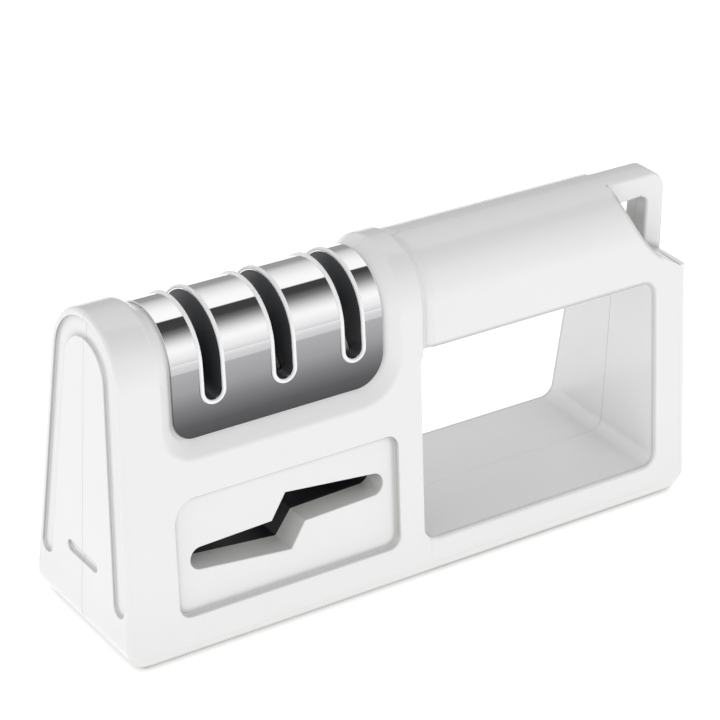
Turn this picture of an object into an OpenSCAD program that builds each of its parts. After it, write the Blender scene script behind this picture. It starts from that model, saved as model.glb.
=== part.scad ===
// Hand-held knife sharpener: two half shells with a finger window, a bent cover with three
// blade slots, and a scissors slot in the side. Stations are measured from the left end and
// heights from the underside of the shells. The placed() module moves them to the part's origin,
// which is the middle of the footprint at floor level.

/* [Body] */
// Length of the body from the left end to the hanging loop
body_length = 181.2; // [176:0.1:190]
// Width of the body at its base
body_width = 49.6; // [46:0.1:54]
// Height of the centre line of the rounded top
arch_height = 74.7; // [72:0.1:78]
// Radius of the rounded top at the left block and the collar
arch_radius = 16.8; // [16:0.1:18]
// Radius of the rounded top along the handle
handle_radius = 15.9; // [15.2:0.1:16]
// Thickness of the shell walls
wall = 2.4; // [1.8:0.1:2.8]
// Lean of the left end, in degrees
end_lean = 1.3; // [0:0.1:3]
// Radius of the lower left corner, seen from the side
left_corner = 7; // [4:0.5:8]
// Radius of the lower right corner, seen from the side
right_corner = 9; // [5:0.5:10]
// Radius along the two long bottom edges
base_edge = 2.2; // [1:0.1:3]
// Radius of the two upright edges at the right end
right_edge = 3; // [1:0.5:4]

/* [Cover and its recess] */
// Station where the recess floor starts
recess_start = 17.4; // [16:0.1:19]
// Station where the recess floor ends
recess_end = 80.8; // [79.5:0.1:83]
// Height of the lower edge of the recess floor
recess_bottom = 57.9; // [56:0.1:58.5]
// Depth of the recess floor under the side of the body
recess_depth = 2.65; // [2.4:0.05:3]
// Width of the bevel around the recess
bevel_width = 4.2; // [3:0.1:5]
// Thickness of the shell under the cover
saddle_wall = 2; // [1.5:0.1:2.5]
// Thickness of the cover's sheet
sheet = 0.6; // [0.4:0.05:0.8]
// Gap between the cover's edge and the recess
cover_gap = 0.4; // [0.2:0.1:0.8]
// Radius of the cover's lower left corners
cover_left_radius = 5.5; // [4:0.5:8]
// Radius of the cover's lower right corners
cover_right_radius = 8.5; // [6:0.5:10]

/* [Blade slots] */
// Station of the middle of the first slot
first_slot = 29.4; // [28.5:0.1:30.5]
// Distance from one slot to the next
slot_pitch = 20.9; // [20.5:0.1:21.5]
// Clear width of each slot
slot_width = 5.4; // [5:0.1:6]
// Height of the lowest point of each slot
slot_bottom = 67.1; // [66.8:0.1:68]
// Width of the raised rim around each slot
rim_width = 0.9; // [0.5:0.1:1.2]
// Height of the rim over the sheet
rim_rise = 0.25; // [0.1:0.05:0.4]
// Thickness of the black walls that line each slot
lining = 1.4; // [1:0.1:1.6]

/* [Collar and handle] */
// Station where the collar ends and the handle starts
collar_end = 92.7; // [91:0.1:95]
// Depth of the groove between the collar and the handle
groove_drop = 1.7; // [1.2:0.1:2]
// Length of the hanging loop, from the handle to the right end
loop_length = 20.3; // [18:0.1:22]
// Thickness of the hanging loop
loop_thickness = 8.8; // [7:0.1:10]
// Radius of the loop's outer corner
loop_corner = 6.5; // [5:0.5:8]
// Width of the loop's top bar and of its upright bar
loop_bar = 6; // [5:0.1:7]
// Radius of the hollow shoulder below the loop
shoulder_radius = 30; // [29:0.5:31]
// Distance of the shoulder's centre beyond the right end
shoulder_beyond = 8.8; // [8.4:0.1:9.4]
// Height of the shoulder's centre
shoulder_height = 95; // [94.5:0.1:96]

/* [Finger window] */
// Station of the window's left side
window_left = 90.8; // [90.2:0.1:92]
// Width of the post between the window and the right end
right_post = 12.4; // [11.2:0.1:14]
// Height of the window's lower side
window_low = 10.5; // [9.5:0.1:12]
// Height of the window's upper side
window_high = 64.3; // [63:0.1:65]
// Radius of the window's corners
window_corner = 3.5; // [2:0.5:5]

/* [Scissors panel] */
// Station of the panel's left side
panel_left = 15.3; // [14:0.1:17]
// Station of the panel's right side
panel_right = 83; // [82:0.1:84]
// Height of the panel's lower side
panel_low = 11.2; // [10:0.1:12]
// Height of the panel's upper side
panel_high = 44; // [43:0.1:45]
// Radius of the panel's corners
panel_corner = 3.6; // [2:0.1:5]
// Radius of the panel's upper left corner
panel_big_corner = 6.5; // [5:0.5:8]
// Depth of the panel
panel_depth = 1.8; // [1:0.1:2.2]
// Station of the middle of the scissors slot
scissors_middle = 49.6; // [49:0.1:50.2]
// Height of the middle of the scissors slot
scissors_height = 27.8; // [27.4:0.1:28.2]
// Half length of the scissors slot, without its round ends
arm_reach = 26.3; // [24:0.1:27]
// Radius of the scissors slot's round ends
arm_radius = 3.1; // [2.8:0.1:3.4]
// Wall around the scissors slot
lip_wall = 1.6; // [1.2:0.1:2]
// Distance of the inner end of the slot's white walls from the middle plane
lip_end = 13; // [12:0.5:15]

/* [Left end] */
// Distance of the U-shaped groove from the outline of the left end
groove_margin = 1.9; // [1:0.1:3]
// Width of the U-shaped groove
groove_width = 5.2; // [3:0.1:6]
// Depth of the grooves in the left end
groove_depth = 0.9; // [0.4:0.1:1.4]
// Height of the lower ends of the U-shaped groove
groove_low = 17; // [14:0.5:20]
// Height of the short level groove
dash_height = 22.6; // [20:0.1:25]
// Length of the short level groove
dash_length = 15; // [10:0.5:18]
// Width of the short level groove
dash_width = 3; // [2:0.1:4]

/* [Sharpening wheels] */
// Outer radius of the wheels
wheel_radius = 11; // [10.5:0.1:11.2]
// Radius at the bottom of the V between two wheels
vee_radius = 6.4; // [6:0.1:6.8]
// Half width of the mouth of that V
vee_half = 1.7; // [1.4:0.05:2]
// Height of the wheels' axles
axle_height = 61.5; // [61.2:0.1:61.8]
// Radius of the wheels' axles
axle_radius = 1.5; // [1.2:0.1:1.6]
// Radius of the hub that carries two wheels
hub_radius = 3.2; // [2.8:0.1:3.6]
// Radial running clearance of a turning part on its shaft
running = 0.05; // [0.02:0.01:0.09]
// Radial clearance of a part that is fixed in its hole
snug = 0.02; // [0.01:0.01:0.05]
// Gap at each side of a turning part
side_gap = 0.2; // [0.1:0.05:0.3]

/* [Carbide blades] */
// Half of the angle between the two carbide blades, in degrees
carbide_angle = 20; // [15:1:25]
// Height at which the two blades cross
carbide_cross = 67.9; // [67.5:0.1:68.3]
// Length of each blade above the crossing
carbide_up = 8.5; // [7:0.5:9]
// Length of each blade below the crossing
carbide_down = 12; // [11:0.5:12.5]
// Width of each blade
carbide_width = 5; // [4:0.1:5.5]
// Thickness of each blade
carbide_thick = 2; // [1.5:0.1:2.2]
// Half length of the block that holds the blades
holder_half = 7.5; // [7:0.1:8]
// Half width of that block
holder_deep = 6.5; // [6.3:0.1:7]
// Height of the underside of that block
holder_low = 54; // [53:0.1:55]

/* [Scissors stone] */
// Radius of the ceramic rod
rod_radius = 1.5; // [1.2:0.1:1.8]
// Height of the rod's upper end
rod_top = 40; // [38.5:0.1:41]
// Height of the rocker's pivot
pivot_height = 12; // [11.5:0.1:12.5]
// Radius of the pivot pin
pivot_radius = 1.2; // [1:0.1:1.4]
// Half width of the rocker
rocker_half = 4.1; // [3.5:0.1:4.5]
// Half length of the rocker's block
block_half = 3.6; // [3.2:0.1:3.8]
// Distance of the block's underside below the pivot
block_drop = 3.2; // [3:0.1:3.5]
// Distance of the block's top above the pivot
block_rise = 4.2; // [4:0.1:4.6]
// Distance of the spring from the pivot
spring_arm = 11.4; // [10.5:0.1:12]
// Mean radius of the spring
spring_radius = 2.4; // [2:0.1:2.6]
// Diameter of the spring's wire
spring_wire = 0.6; // [0.4:0.1:0.7]
// Number of curls in the spring
spring_curls = 6; // [4:1:8]
// Distance of the guide's left lug from the middle of the scissors slot
left_lug_reach = 20; // [19:0.5:22]
// Distance of the guide's right lug from the middle of the scissors slot
right_lug_reach = 25; // [24:0.5:26]

/* [Screws and feet] */
// Radius of the screws' shanks
screw_radius = 1.4; // [1.2:0.1:1.6]
// Radius of the screws' heads
screw_head = 2.5; // [2.2:0.1:2.7]
// Height of the screws' heads
screw_head_high = 1.7; // [1.2:0.1:2]
// Radius of the bosses that take the screws
boss_radius = 3.3; // [3:0.1:3.5]
// Distance of the inner units' lugs from the middle plane
lug_face = 8; // [7:0.5:9]
// Thickness of those lugs
lug_thick = 3; // [2:0.5:4]
// Length of the inner units' screws past the lugs
lug_screw_reach = 5; // [4:0.5:6]
// Distance of the left housing screws from the left end
end_screw_inset = 9; // [8:0.5:10]
// Height of the housing screws near the base
low_screw_height = 14; // [12:0.5:16]
// Height of the housing screw near the top of the left end
high_screw_height = 60; // [56:0.5:62]
// Height of the two housing screws in the handle
handle_screw_height = 78; // [76:0.5:80]
// Distance of the handle's screws from its two ends
handle_screw_inset = 9.5; // [8:0.5:12]
// Distance of the base's middle screw from the middle of the scissors slot
base_screw_reach = 26; // [24:0.5:28]
// Height of the base's middle screw
base_screw_height = 6.4; // [6:0.1:6.8]
// Distance of the housing screws' heads from the middle plane
head_seat = 6; // [4:0.5:8]
// Distance that the housing screws reach past the middle plane
screw_reach = 9; // [6:0.5:10]
// Radius of the rubber feet
foot_radius = 5; // [4:0.5:6]
// Thickness of the rubber feet
foot_thick = 1.7; // [1.2:0.1:1.8]
// Height that the feet stand proud of the shells
foot_proud = 0.5; // [0.3:0.1:0.8]
// Distance of the feet from the two ends
foot_inset = 14; // [12:0.5:18]
// Distance of the feet from the middle plane
foot_spread = 15; // [12:0.5:16]

/* [Hidden] */
$fn = 96;

half_width = body_width / 2;
past = 1;
loop_start = body_length - loop_length;
window_right = body_length - right_post;
mid_slot = first_slot + slot_pitch;
last_slot = first_slot + 2 * slot_pitch;
slots = [first_slot, mid_slot, last_slot];
slot_half = slot_width / 2;
slot_centre = slot_bottom + slot_half;
crest = arch_height + arch_radius;
cover_inset = recess_depth - 0.05 - sheet;
cover_start = recess_start + cover_gap;
cover_end = recess_end - cover_gap;
cover_bottom = recess_bottom + cover_gap;
lining_inner = slot_half + 0.1;
lining_outer = lining_inner + lining;
shell_slot = lining_outer + 0.2;
lining_inset = recess_depth + 0.05;
saddle_inset = recess_depth + saddle_wall;
bevel_out = bevel_width * (1 + past / recess_depth);
plate_top = slot_bottom - 0.7;
plate_low = plate_top - 2.2;
wheel_half = lining_inner - side_gap;
clip_thick = 0.6;
clip_radius = 2.4;
axle_half = lining_outer + clip_thick + 0.3;
guide_wall = 1.5;
guide_gap = 0.3;
guide_half = lip_end - 0.1;
ear_thick = 2;
ear_in = rocker_half + side_gap;
ear_out = ear_in + ear_thick;
arm_top = pivot_height + 2;
spring_x = scissors_middle + spring_arm;
guide_arm_low = scissors_height - 1.4 - guide_wall - guide_gap;
spring_low = arm_top + 0.05;
spring_high = guide_arm_low - 0.05;
cartridge_lugs = [first_slot + slot_pitch / 2, mid_slot + slot_pitch / 2];
lug_height = plate_low - 3.6;
lug_half = boss_radius - 0.6;
screw_tip = -lug_face - lug_screw_reach;
guide_lugs = [scissors_middle - left_lug_reach, scissors_middle + right_lug_reach];
guide_lug_height = scissors_height - 12;
housing_spots = [
  [end_screw_inset, low_screw_height],
  [end_screw_inset, high_screw_height],
  [collar_end + handle_screw_inset, handle_screw_height],
  [loop_start - handle_screw_inset, handle_screw_height],
  [(window_right + body_length) / 2, low_screw_height],
  [scissors_middle + base_screw_reach, base_screw_height]
];
feet_spots = [[foot_inset, foot_spread], [body_length - foot_inset, foot_spread]];

// Lean of the flat side that is tangent to a rounded top of radius r
function lean(r) = acos(r / norm([half_width, arch_height])) - atan2(arch_height, half_width);
// Points of an arc about a centre, from angle a to angle b
function arc_points(x, y, r, a, b, n = 8) =
  [for (i = [0:n]) [x + r * cos(a + (b - a) * i / n), y + r * sin(a + (b - a) * i / n)]];

// How far inside the round top's edge the flat sides meet it, so that the two surfaces cross
crossing = 0.01;
side_lean = lean(arch_radius);
// Height of the line where the flat side meets the rounded top
tangent_high = arch_height + arch_radius * sin(side_lean);
// The same line, measured up the side
tangent_up = tangent_high / cos(side_lean);

// Moves stations and heights to the part's own origin
module placed() {
  translate([-body_length / 2, 0, foot_proud]) children();
}

// Draws a flat shape of the YZ plane as a bar from one station to another
module along(start, end) {
  translate([start, 0, 0]) rotate([90, 0, 90]) linear_extrude(end - start) children();
}

// Draws a flat shape of the XZ plane as a bar from one Y to another
module across(low, high) {
  translate([0, high, 0]) rotate([90, 0, 0]) linear_extrude(high - low) children();
}

// Cross-section of the body: flat leaning sides under a round top, moved inwards by inset
module section(r, inset = 0, edge = 0) {
  b = lean(r);
  q = r - inset;
  side_y = (q - crossing) * cos(b);
  side_z = arch_height + (q - crossing) * sin(b);
  base_y = side_y + side_z * tan(b);
  rounded = edge > 0;
  right_points = rounded ? arc_points(base_y - edge, edge, edge, -90, 0, 6) : [[base_y, 0]];
  left_points = [for (i = [len(right_points) - 1:-1:0]) [-right_points[i][0], right_points[i][1]]];
  polygon(concat(right_points, [[side_y, side_z], [-side_y, side_z]], left_points));
  translate([0, arch_height]) circle(q);
}

// Rectangle with round corners of four radii: low left, low right, high right, high left
module soft_rectangle(x0, z0, x1, z1, radii) {
  corners = [[x0, z0, 0, 0], [x1, z0, 1, 0], [x1, z1, 1, 1], [x0, z1, 0, 1]];
  difference() {
    translate([x0, z0]) square([x1 - x0, z1 - z0]);
    for (i = [0:3]) {
      r = radii[i];
      c = corners[i];
      if (r > 0) {
        difference() {
          translate([c[2] == 0 ? c[0] - past : c[0] - r, c[3] == 0 ? c[1] - past : c[1] - r])
            square(r + past);
          translate([c[2] == 0 ? c[0] + r : c[0] - r, c[3] == 0 ? c[1] + r : c[1] - r]) circle(r);
        }
      }
    }
  }
}

// U shape of a blade slot, open at the top
module slot_shape(station, half) {
  translate([station, slot_centre]) circle(half);
  translate([station - half, slot_centre]) square([2 * half, crest]);
}

// Z shape of the scissors slot, made larger by grow on every side
module scissors_shape(grow = 0) {
  r = arm_radius + grow;
  rise = 2.4;
  upper = [[-arm_reach, r - rise], [-5 - grow, 1.4 + grow], [-0.6 - grow, 8.2 + grow],
    [arm_reach, r + rise]];
  lower = [for (p = upper) [-p[0], -p[1]]];
  translate([scissors_middle, scissors_height]) {
    polygon(concat(upper, lower));
    translate([-arm_reach, -rise]) circle(r);
    translate([arm_reach, rise]) circle(r);
  }
}

// Puts a shape on the front side: X is the station, Y runs up the side, Z points out of it
module on_front() {
  translate([0, -half_width, 0]) rotate([90 - side_lean, 0, 0]) children();
}

// Puts a shape on the leaning left end, with X pointing into the body
module on_left_end() {
  translate([0, 0, left_corner]) rotate([0, end_lean, 0]) translate([0, 0, -left_corner])
    children();
}

// Bar up the front side, from one height on the side to another. Its profile has stations and
// depths, with depths below the side negative.
module bar_up_side(low, high, profile) {
  translate([0, high, 0]) rotate([90, 0, 0]) linear_extrude(high - low) polygon(profile);
}

// Sector over the front half of the rounded top. Its profile has stations and depths, as above.
module sector_to_crest(profile) {
  turned = [for (p = profile) [arch_radius + p[1], p[0]]];
  translate([0, 0, arch_height]) rotate([0, 90, 0]) rotate([0, 0, 180])
    rotate_extrude(angle = side_lean - 90) polygon(turned);
}

// Round corner of the recess: bevel and floor, over a quarter turn that starts at angle a
module recess_corner(station, height, r, a) {
  profile = [[0, -recess_depth], [r, -recess_depth], [r + bevel_out, past], [0, past]];
  translate([station, height, 0]) rotate(a) rotate_extrude(angle = 90) polygon(profile);
}

// Bevelled recess on the flat front side
module recess_front() {
  left = cover_left_radius;
  right = cover_right_radius;
  low = recess_bottom / cos(side_lean);
  middle = (recess_start + recess_end) / 2;
  lower_bar = [
    [low, -recess_depth], [low - bevel_out, past], [low + max(left, right), past],
    [low + max(left, right), -recess_depth]
  ];
  on_front() {
    bar_up_side(low + left, tangent_up, [
      [recess_start, -recess_depth], [recess_start - bevel_out, past], [middle, past],
      [middle, -recess_depth]
    ]);
    bar_up_side(low + right, tangent_up, [
      [recess_end, -recess_depth], [recess_end + bevel_out, past], [middle, past],
      [middle, -recess_depth]
    ]);
    translate([recess_start + left, 0, 0]) rotate([90, 0, 90])
      linear_extrude(recess_end - right - recess_start - left) polygon(lower_bar);
    recess_corner(recess_start + left, low + left, left, 180);
    recess_corner(recess_end - right, low + right, right, 270);
  }
}

// Bevelled recess over the front half of the rounded top
module recess_top() {
  sector_to_crest([
    [recess_start, -recess_depth], [recess_start - bevel_out, past],
    [recess_end + bevel_out, past], [recess_end, -recess_depth]
  ]);
}

// Groove between the collar and the handle, over the top and down to the window
module collar_groove() {
  rise = groove_drop + past;
  bottom = collar_end + 0.3;
  profile = [[bottom, -groove_drop], [bottom - rise, past], [bottom + 2.8 * rise, past]];
  for (side = [0, 1]) mirror([0, side, 0]) {
    sector_to_crest(profile);
    on_front() bar_up_side(window_high / cos(side_lean) - 3, tangent_up + 0.3, profile);
  }
}

// The whole recess for the cover, on both sides and over the top
module recess() {
  for (side = [0, 1]) mirror([0, side, 0]) {
    recess_front();
    recess_top();
  }
}

// Material beside the hanging loop, cut away down to the hollow shoulder
module beside_loop() {
  half = loop_thickness / 2;
  for (y = [[-half_width, -half], [half, half_width]]) {
    across(y[0], y[1]) intersection() {
      translate([loop_start, 0]) square([body_length, crest + past]);
      translate([body_length + shoulder_beyond, shoulder_height]) circle(shoulder_radius);
    }
  }
}

// Triangular hole of the hanging loop
module loop_hole() {
  handle_crest = arch_height + handle_radius;
  across(-half_width, half_width) intersection() {
    soft_rectangle(loop_start + 2, arch_height - 10, body_length - loop_bar,
      handle_crest - loop_bar - 1.2, [0, 0, 2, 0]);
    translate([body_length + shoulder_beyond, shoulder_height]) circle(shoulder_radius - 0.6);
  }
}

// Rounds the upright edges at the right end
module right_edges() {
  b = lean(handle_radius);
  for (side = [0, 1]) mirror([0, side, 0]) translate([body_length, -half_width, 0])
    rotate([-b, 0, 0]) translate([0, 0, -past]) linear_extrude(crest) difference() {
      translate([-right_edge, -past]) square([right_edge + past, right_edge + past]);
      translate([-right_edge, right_edge]) circle(right_edge);
    }
}

// Grooves pressed into the left end
module end_grooves() {
  outer_leg = half_width - groove_low * tan(side_lean) - groove_margin / cos(side_lean);
  on_left_end() along(-past, groove_depth) {
    intersection() {
      difference() {
        section(arch_radius, groove_margin);
        section(arch_radius, groove_margin + groove_width);
      }
      translate([-half_width, groove_low]) square([body_width, crest]);
    }
    for (side = [-1, 1]) translate([side * (outer_leg - groove_width / 2), groove_low])
      circle(groove_width / 2);
    dash = dash_length / 2 - dash_width / 2;
    translate([-dash, dash_height - dash_width / 2]) square([2 * dash, dash_width]);
    for (side = [-1, 1]) translate([side * dash, dash_height]) circle(dash_width / 2);
  }
}

// Outside of both shells together
module outer_form() {
  difference() {
    intersection() {
      union() {
        along(0, collar_end) section(arch_radius, 0, base_edge);
        along(collar_end, body_length) section(handle_radius, 0, base_edge);
      }
      across(-half_width, half_width) soft_rectangle(0, 0, body_length, crest + past,
        [left_corner, right_corner, 0, 0]);
    }
    on_left_end() translate([-20, -half_width - past, -past])
      cube([20, body_width + 2 * past, crest + 5]);
    recess();
    collar_groove();
    beside_loop();
    right_edges();
    end_grooves();
    across(-half_width, half_width) difference() {
      translate([body_length - loop_corner, arch_height + handle_radius - loop_corner])
        square(loop_corner + past);
      translate([body_length - loop_corner, arch_height + handle_radius - loop_corner])
        circle(loop_corner);
    }
  }
}

// One room inside the shells, bounded by stations and heights, with its four corner radii
module room(x0, z0, x1, z1, r, inset, radii = [0, 0, 0, 0]) {
  intersection() {
    along(x0, x1) section(r, inset);
    across(-half_width, half_width) soft_rectangle(x0, z0, x1, z1, radii);
  }
}

// Hollow inside both shells
module cavity() {
  deck = recess_bottom - bevel_width - past;
  window_x0 = window_left - wall;
  window_x1 = window_right + wall;
  room(wall + 1.2, wall, recess_start - bevel_width - past, deck, arch_radius, wall,
    [left_corner - wall, 0, 0, 0]);
  room(wall + 3.2, deck - past, recess_start - bevel_width - past, crest, arch_radius, wall);
  room(recess_start - bevel_width - 2 * past, wall, window_x0, deck, arch_radius, wall);
  room(recess_start - past, deck - past, recess_end + past, crest, arch_radius, saddle_inset);
  room(recess_end + past - 0.1, window_high + wall, collar_end, crest, arch_radius,
    saddle_inset + 1);
  room(collar_end - 0.1, window_high + wall, loop_start - 4, crest, handle_radius, wall);
  room(window_x0 - past, wall, window_x1 + past, window_low - wall, handle_radius, wall);
  room(window_x1, wall + 1.2, body_length - wall, window_high - 4, handle_radius, wall,
    [0, right_corner - wall, 0, 0]);
}

// Screw bosses of the housing, from one Y to another
module housing_bosses(low, high, r) {
  for (s = housing_spots) across(low, high) translate(s) circle(r);
}

// Everything that both shells share, before the two are parted
module shell_body() {
  difference() {
    union() {
      difference() {
        outer_form();
        cavity();
      }
      intersection() {
        along(wall, body_length - wall) section(handle_radius, wall / 2);
        union() {
          housing_bosses(-half_width, half_width, boss_radius);
          difference() {
            across(-half_width, half_width) scissors_shape(lip_wall);
            across(-lip_end, lip_end) scissors_shape(lip_wall + past);
          }
        }
      }
    }
    across(-half_width - past, half_width + past)
      soft_rectangle(window_left, window_low, window_right, window_high,
        [window_corner, window_corner, window_corner, window_corner]);
    loop_hole();
    for (x = slots) across(-half_width, half_width) slot_shape(x, shell_slot);
    across(-half_width - past, half_width + past) scissors_shape();
    cover_tabs(0.3);
    for (s = feet_spots, side = [-1, 1]) translate([s[0], side * s[1], -past])
      cylinder(r = foot_radius + 0.1, h = foot_thick - foot_proud + past);
  }
}

module front_shell() {
  color("white") placed() difference() {
    intersection() {
      union() {
        shell_body();
        intersection() {
          outer_form();
          union() {
            panel_backing();
            for (x = cartridge_lugs) lug_post(x, lug_height, lug_face);
            for (x = guide_lugs) lug_post(x, guide_lug_height, lug_face);
          }
        }
      }
      translate([-past, -half_width - past, -past])
        cube([body_length + 2 * past, half_width + past, crest + 2 * past]);
    }
    panel_recess();
    across(-half_width - past, 0) scissors_shape();
    housing_bosses(-screw_reach - past, past, screw_radius + snug);
    for (x = cartridge_lugs) screw_bore(x, lug_height);
    for (x = guide_lugs) screw_bore(x, guide_lug_height);
  }
}

// Thickens the front wall behind the scissors panel
module panel_backing() {
  on_front() translate([0, 0, -panel_depth - wall]) linear_extrude(wall + panel_depth / 2)
    soft_rectangle(panel_left - wall, panel_low - wall, panel_right + wall, panel_high + wall,
      [panel_corner, panel_corner, panel_corner, panel_big_corner]);
}

// Shallow recess around the scissors slot
module panel_recess() {
  on_front() translate([0, 0, -panel_depth]) linear_extrude(panel_depth + past)
    soft_rectangle(panel_left, panel_low, panel_right, panel_high,
      [panel_corner, panel_corner, panel_corner, panel_big_corner]);
}

// Post on the inside of the front shell that takes the screw of an inner unit
module lug_post(station, height, face) {
  across(-half_width, -face) translate([station, height]) circle(lug_half);
}

// Blind hole for the screw of an inner unit
module screw_bore(station, height) {
  across(screw_tip - 0.5, -lug_face + past) translate([station, height])
    circle(screw_radius + snug);
}

module rear_shell() {
  color("white") placed() difference() {
    intersection() {
      shell_body();
      translate([-past, 0, -past])
        cube([body_length + 2 * past, half_width + past, crest + 2 * past]);
    }
    housing_bosses(-past, half_width + past, screw_radius + 0.2);
    housing_bosses(head_seat, half_width + past, screw_head + 0.2);
  }
}

// Tabs of the cover that are pushed through the shells, made larger by grow
module cover_tabs(grow) {
  tab = 5;
  reach = 4.2;
  low = (cover_bottom + 1) / cos(side_lean);
  for (side = [0, 1], x = [first_slot + 1, last_slot - 1]) mirror([0, side, 0]) on_front()
    translate([x - tab / 2 - grow, low - grow, -cover_inset - sheet / 2 - reach])
      cube([tab + 2 * grow, sheet + 2 * grow, reach]);
}

module chrome_cover() {
  color("silver") placed() {
    difference() {
      union() {
        intersection() {
          along(cover_start, cover_end) difference() {
            section(arch_radius, cover_inset);
            section(arch_radius, cover_inset + sheet);
          }
          across(-half_width, half_width) soft_rectangle(cover_start, cover_bottom, cover_end,
            crest, [cover_left_radius, cover_right_radius, 0, 0]);
        }
        intersection() {
          along(cover_start, cover_end) difference() {
            section(arch_radius, cover_inset - rim_rise);
            section(arch_radius, cover_inset + sheet / 2);
          }
          across(-half_width, half_width) for (x = slots) slot_shape(x, slot_half + rim_width);
        }
      }
      across(-half_width, half_width) for (x = slots) slot_shape(x, slot_half);
    }
    cover_tabs(0);
  }
}

// Frame that carries the three stages and lines the blade slots
module slot_cartridge() {
  plate_half = half_width - plate_top * tan(side_lean) - (saddle_inset + 0.4) / cos(side_lean);
  color("#202224") placed() difference() {
    union() {
      intersection() {
        along(first_slot - lining_outer - past, last_slot + lining_outer + past)
          section(arch_radius, lining_inset);
        across(-half_width, half_width) for (x = slots) slot_shape(x, lining_outer);
      }
      translate([first_slot - holder_half - 0.6, -plate_half, plate_low])
        cube([2 * slot_pitch + 2 * holder_half + 1.2, 2 * plate_half, plate_top - plate_low]);
      for (x = [mid_slot, last_slot])
        translate([x - lining_outer, -6, axle_height - axle_radius - 2])
          cube([2 * lining_outer, 12, plate_low - axle_height + axle_radius + 2 + 0.1]);
      for (x = cartridge_lugs) translate([x - lug_half, -lug_face, lug_height - lug_half])
        cube([2 * lug_half, lug_thick, plate_low - lug_height + lug_half + 0.1]);
    }
    across(-half_width, half_width) for (x = slots) slot_shape(x, lining_inner);
    for (x = [mid_slot, last_slot]) {
      translate([x - lining_inner, -wheel_radius - 0.5, 0])
        cube([2 * lining_inner, 2 * wheel_radius + 1, slot_centre]);
      along(x - lining_outer - past, x + lining_outer + past)
        translate([0, axle_height]) circle(axle_radius + snug);
    }
    for (x = cartridge_lugs) across(-lug_face - past, 0) translate([x, lug_height])
      circle(screw_radius + 0.1);
    carbide_room();
    holder_screw_shapes(snug, 0);
  }
}

// Room in the frame for the two carbide blades
module carbide_room() {
  translate([first_slot - holder_half, -carbide_thick - 0.3, plate_low - past])
    cube([2 * holder_half, 2 * carbide_thick + 0.6, carbide_up + 6]);
}

// Side view of one carbide blade, leaning right for side 1 and left for side -1
module carbide_profile(side, grow = 0) {
  translate([first_slot, carbide_cross]) rotate(-side * carbide_angle)
    translate([side > 0 ? -grow : -carbide_width - grow, -carbide_down - grow])
      square([carbide_width + 2 * grow, carbide_down + carbide_up + grow]);
}

module carbide_blade_front() {
  color("#5a5c60") placed() across(-carbide_thick, 0) carbide_profile(1);
}

module carbide_blade_rear() {
  color("#5a5c60") placed() across(0, carbide_thick) carbide_profile(-1);
}

module carbide_holder() {
  color("#b8bcc0") placed() difference() {
    translate([first_slot - holder_half, -holder_deep, holder_low])
      cube([2 * holder_half, 2 * holder_deep, plate_low - holder_low]);
    across(-carbide_thick - snug, snug) carbide_profile(1, snug);
    across(-snug, carbide_thick + snug) carbide_profile(-1, snug);
    across(0, holder_deep + past) translate([first_slot, clamp_height()])
      circle(screw_radius + snug);
    holder_screw_shapes(snug, past);
  }
}

// Height of the screw that clamps the carbide blades
function clamp_height() = holder_low + 5;

module carbide_clamp_screw() {
  color("#8c8f94") placed() difference() {
    across(carbide_thick + snug, holder_deep) translate([first_slot, clamp_height()])
      circle(screw_radius);
    across(holder_deep - 1.2, holder_deep + past) translate([first_slot, clamp_height()])
      circle(0.8, $fn = 6);
  }
}

// The two upright screws of the holder, made larger by grow
module holder_screw_shapes(grow, below) {
  for (side = [-1, 1])
    translate([first_slot + side * (holder_half - 2.4), -side * (holder_deep - 2.3), 0]) {
      translate([0, 0, holder_low - below])
        cylinder(r = 1 + grow, h = plate_top - 0.4 - holder_low + below);
      translate([0, 0, holder_low - past]) cylinder(r = 1.9 + grow, h = past + 1 + grow);
    }
}

module holder_screws() {
  color("#8c8f94") placed() holder_screw_shapes(0, 0);
}

// Steel axle across one slot
module axle(station) {
  along(station - axle_half, station + axle_half) translate([0, axle_height])
    circle(axle_radius);
}

// Sleeve that carries two wheels on an axle
module hub(station) {
  along(station - wheel_half, station + wheel_half) translate([0, axle_height]) difference() {
    circle(hub_radius);
    circle(axle_radius + running);
  }
}

// Left wheel of a pair for side -1, right wheel for side 1
module wheel(station, side) {
  gap = 0.05;
  bore = hub_radius + snug;
  profile = [
    [bore, gap], [vee_radius, gap], [wheel_radius, vee_half], [wheel_radius, wheel_half],
    [bore, wheel_half]
  ];
  translate([station, 0, axle_height]) mirror([side < 0 ? 1 : 0, 0, 0]) rotate([0, 90, 0])
    rotate_extrude() polygon(profile);
}

module medium_axle() {
  color("#c8ccd0") placed() axle(mid_slot);
}

module medium_hub() {
  color("#2b2d30") placed() hub(mid_slot);
}

module medium_wheel_left() {
  color("#8a8478") placed() wheel(mid_slot, -1);
}

module medium_wheel_right() {
  color("#8a8478") placed() wheel(mid_slot, 1);
}

module fine_axle() {
  color("#c8ccd0") placed() axle(last_slot);
}

module fine_hub() {
  color("#2b2d30") placed() hub(last_slot);
}

module fine_wheel_left() {
  color("#e8e4dc") placed() wheel(last_slot, -1);
}

module fine_wheel_right() {
  color("#e8e4dc") placed() wheel(last_slot, 1);
}

module axle_clips() {
  color("#c8ccd0") placed() for (x = [mid_slot, last_slot], side = [-1, 1]) {
    start = side > 0 ? x + lining_outer : x - lining_outer - clip_thick;
    along(start, start + clip_thick) translate([0, axle_height]) difference() {
      circle(clip_radius);
      circle(axle_radius + snug);
    }
  }
}

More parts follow.
